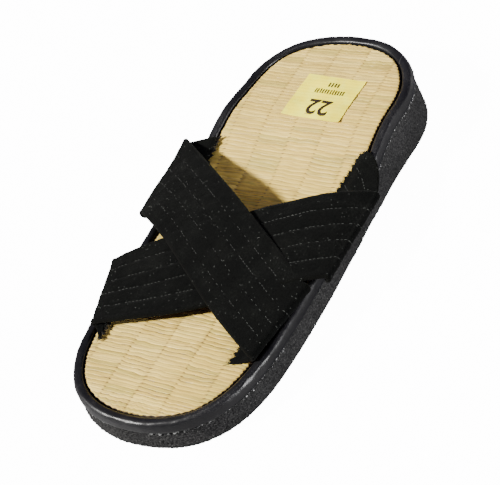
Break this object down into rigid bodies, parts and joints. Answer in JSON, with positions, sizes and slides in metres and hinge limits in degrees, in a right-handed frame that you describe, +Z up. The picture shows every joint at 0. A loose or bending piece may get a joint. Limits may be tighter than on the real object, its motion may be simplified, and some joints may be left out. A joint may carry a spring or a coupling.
{
  "type": "zori sandal",
  "caption": "Flat slip-on sandal with a woven rush insole, vinyl rim, sponge wedge sole and two crossed cloth bands over the foot.",
  "frame": {"origin": "on the ground, under the middle of the sandal's box", "axes": "+Z up from the ground, toe towards -Y, heel towards +Y, +X to the right seen from the toe"},
  "size_m": [0.114, 0.2308, 0.0293],
  "materials": {
    "sponge_rubber": "sanded black sponge rubber, granular",
    "vinyl_rim": "smooth black vinyl, satin",
    "woven_rush": "straw-coloured woven rush",
    "black_velvet": "black velvet with thin pale stitching",
    "gold_label": "pale gold foil sticker",
    "pale_thread": "thin grey-white thread"
  },
  "bodies": {
    "root": {"outsole": "sponge_rubber", "rim": "vinyl_rim", "insole": "woven_rush", "upper": "black_velvet"}
  },
  "joints": []
}
